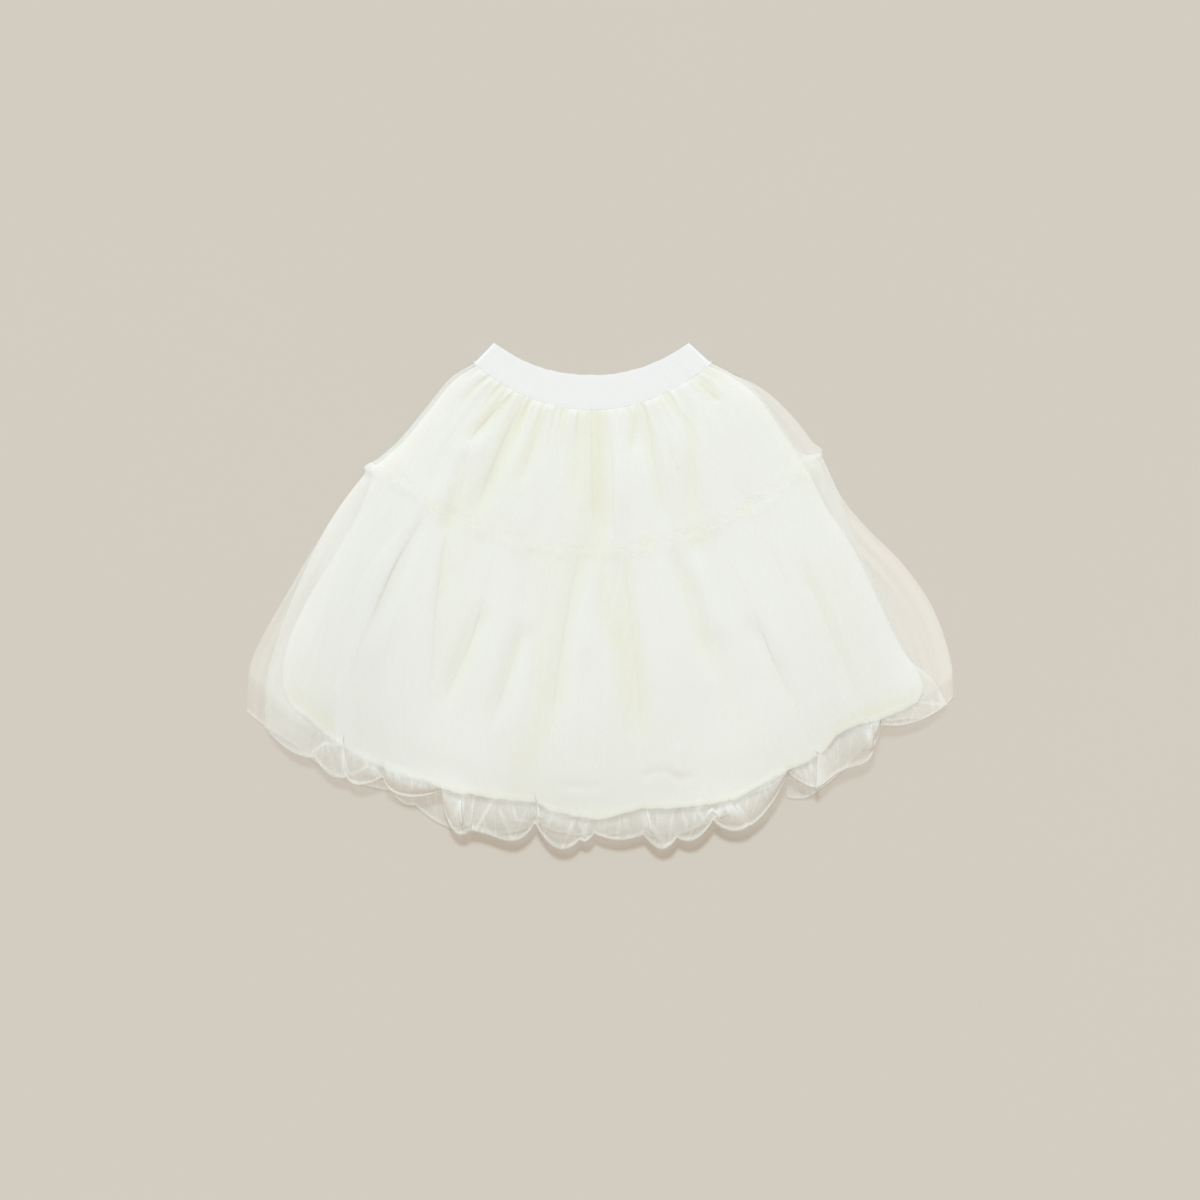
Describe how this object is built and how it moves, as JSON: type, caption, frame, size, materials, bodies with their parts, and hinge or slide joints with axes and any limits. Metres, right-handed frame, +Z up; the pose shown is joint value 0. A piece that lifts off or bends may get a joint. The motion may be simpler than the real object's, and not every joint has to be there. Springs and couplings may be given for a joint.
{
  "type": "tulle skirt",
  "caption": "Girl's balloon-hem tulle skirt laid flat: elastic waistband, opaque lining and gathered tulle tiers turned under at the hem in soft puffs.",
  "frame": {"origin": "On the surface the skirt lies on, below the middle of its outline.", "axes": "+X runs across the skirt to the right as seen from above, +Y points to the waistband, +Z is up, away from the surface."},
  "size_m": [0.6071, 0.435, 0.019],
  "materials": {
    "tulle": "sheer matte net, ivory",
    "lining": "soft satin weave, ivory",
    "elastic": "ribbed matte elastic, cool white"
  },
  "bodies": {
    "root": {"waistband": "elastic", "lining_front": "lining", "lining_back": "lining", "tulle_upper_front": "tulle", "tulle_upper_back": "tulle", "tulle_lower_front": "tulle", "tulle_lower_back": "tulle"}
  },
  "joints": []
}
